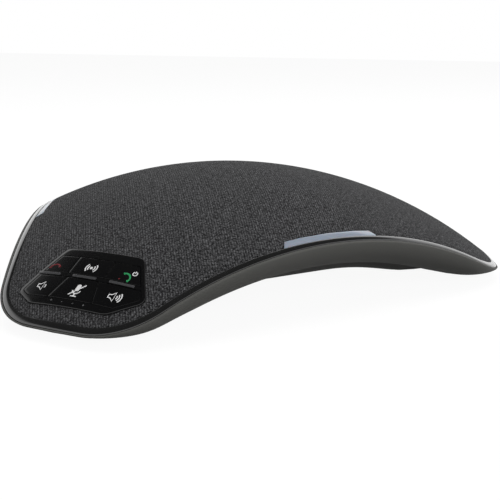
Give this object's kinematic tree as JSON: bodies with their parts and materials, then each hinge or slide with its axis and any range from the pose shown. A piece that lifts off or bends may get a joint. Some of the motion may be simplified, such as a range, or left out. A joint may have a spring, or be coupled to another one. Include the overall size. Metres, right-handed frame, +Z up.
{
  "type": "conference speakerphone",
  "caption": "Low domed three-armed conference speakerphone: fabric dome in a gloss ring, arched matte base, light strips in the sides and a key panel on one arm.",
  "frame": {"origin": "on the table, under the middle of the bounding box", "axes": "+Z up; the arm with the control panel points along -Y; X runs across the two other arms"},
  "size_m": [0.2554, 0.232, 0.054],
  "materials": {
    "charcoal_knit": "fine stretched knit",
    "gloss_black": "polished",
    "panel_black": "satin",
    "matte_grey": "fine spark texture",
    "black_rubber": "soft",
    "milky_light": "diffusing",
    "circuit_board": "solder mask",
    "zinc_steel": "zinc plated",
    "bright_nickel": "nickel plated",
    "black_plastic": "moulded",
    "paper_cone": "pressed paper",
    "battery_wrap": "shrink wrap",
    "lead_sleeve": "sleeve"
  },
  "bodies": {
    "base": {"battery_lead": "lead_sleeve", "battery_pack": "battery_wrap", "battery_pad": "black_rubber", "bottom_cover": "matte_grey", "bottom_cover_screw_front": "zinc_steel", "bottom_cover_screw_left": "zinc_steel", "bottom_cover_screw_right": "zinc_steel", "chamber_screw_front": "zinc_steel", "chamber_screw_left": "zinc_steel", "chamber_screw_right": "zinc_steel", "fabric_cover": "charcoal_knit", "foot_front": "black_rubber", "foot_left": "black_rubber", "foot_right": "black_rubber", "grille_frame": "black_plastic", "housing_screw_front": "zinc_steel", "housing_screw_left": "zinc_steel", "housing_screw_right": "zinc_steel", "key_board": "circuit_board", "key_lead": "lead_sleeve", "key_mat": "black_rubber", "light_board_left": "circuit_board", "light_board_rear": "circuit_board", "light_board_right": "circuit_board", "light_guide": "milky_light", "light_strip_left": "milky_light", "light_strip_rear": "milky_light", "light_strip_right": "milky_light", "lower_housing": "matte_grey", "main_board": "circuit_board", "main_board_screw_inner": "zinc_steel", "main_board_screw_outer": "zinc_steel", "microphone_board_front": "circuit_board", "microphone_board_left": "circuit_board", "microphone_board_right": "circuit_board", "microphone_boot_front": "black_rubber", "microphone_boot_left": "black_rubber", "microphone_boot_right": "black_rubber", "panel_bezel": "panel_black", "processor_shield": "bright_nickel", "speaker_basket": "zinc_steel", "speaker_chamber": "black_plastic", "speaker_gasket": "black_rubber", "speaker_lead": "lead_sleeve", "speaker_magnet": "zinc_steel", "speaker_spider": "paper_cone", "speaker_surround": "black_rubber", "trim_ring": "gloss_black", "usb_board": "circuit_board", "usb_socket": "bright_nickel"},
    "speaker_motor": {"voice_coil": "bright_nickel", "speaker_cone": "paper_cone", "dust_cap": "paper_cone"},
    "key_hang_up_body": {"key_hang_up": "panel_black"},
    "key_pairing_body": {"key_pairing": "panel_black"},
    "key_answer_body": {"key_answer": "panel_black"},
    "key_volume_down_body": {"key_volume_down": "panel_black"},
    "key_mute_body": {"key_mute": "panel_black"},
    "key_volume_up_body": {"key_volume_up": "panel_black"}
  },
  "joints": [
    {"name": "press_hang_up", "type": "slide", "parent": "base", "child": "key_hang_up_body", "axis": [0, 0.529, -0.8486], "range_m": [0, 0.0005], "stiffness_N_per_m": 600, "springref_m": -0.0008},
    {"name": "press_pairing", "type": "slide", "parent": "base", "child": "key_pairing_body", "axis": [0, 0.529, -0.8486], "range_m": [0, 0.0005], "stiffness_N_per_m": 600, "springref_m": -0.0008},
    {"name": "press_answer", "type": "slide", "parent": "base", "child": "key_answer_body", "axis": [0, 0.529, -0.8486], "range_m": [0, 0.0005], "stiffness_N_per_m": 600, "springref_m": -0.0008},
    {"name": "press_volume_down", "type": "slide", "parent": "base", "child": "key_volume_down_body", "axis": [0, 0.529, -0.8486], "range_m": [0, 0.0005], "stiffness_N_per_m": 600, "springref_m": -0.0008},
    {"name": "press_mute", "type": "slide", "parent": "base", "child": "key_mute_body", "axis": [0, 0.529, -0.8486], "range_m": [0, 0.0005], "stiffness_N_per_m": 600, "springref_m": -0.0008},
    {"name": "press_volume_up", "type": "slide", "parent": "base", "child": "key_volume_up_body", "axis": [0, 0.529, -0.8486], "range_m": [0, 0.0005], "stiffness_N_per_m": 600, "springref_m": -0.0008},
    {"name": "cone_travel", "type": "slide", "parent": "base", "child": "speaker_motor", "axis": [0, 0, 1], "range_m": [-0.0015, 0.0015], "stiffness_N_per_m": 1500, "deforming": ["speaker_surround", "speaker_spider"]}
  ]
}
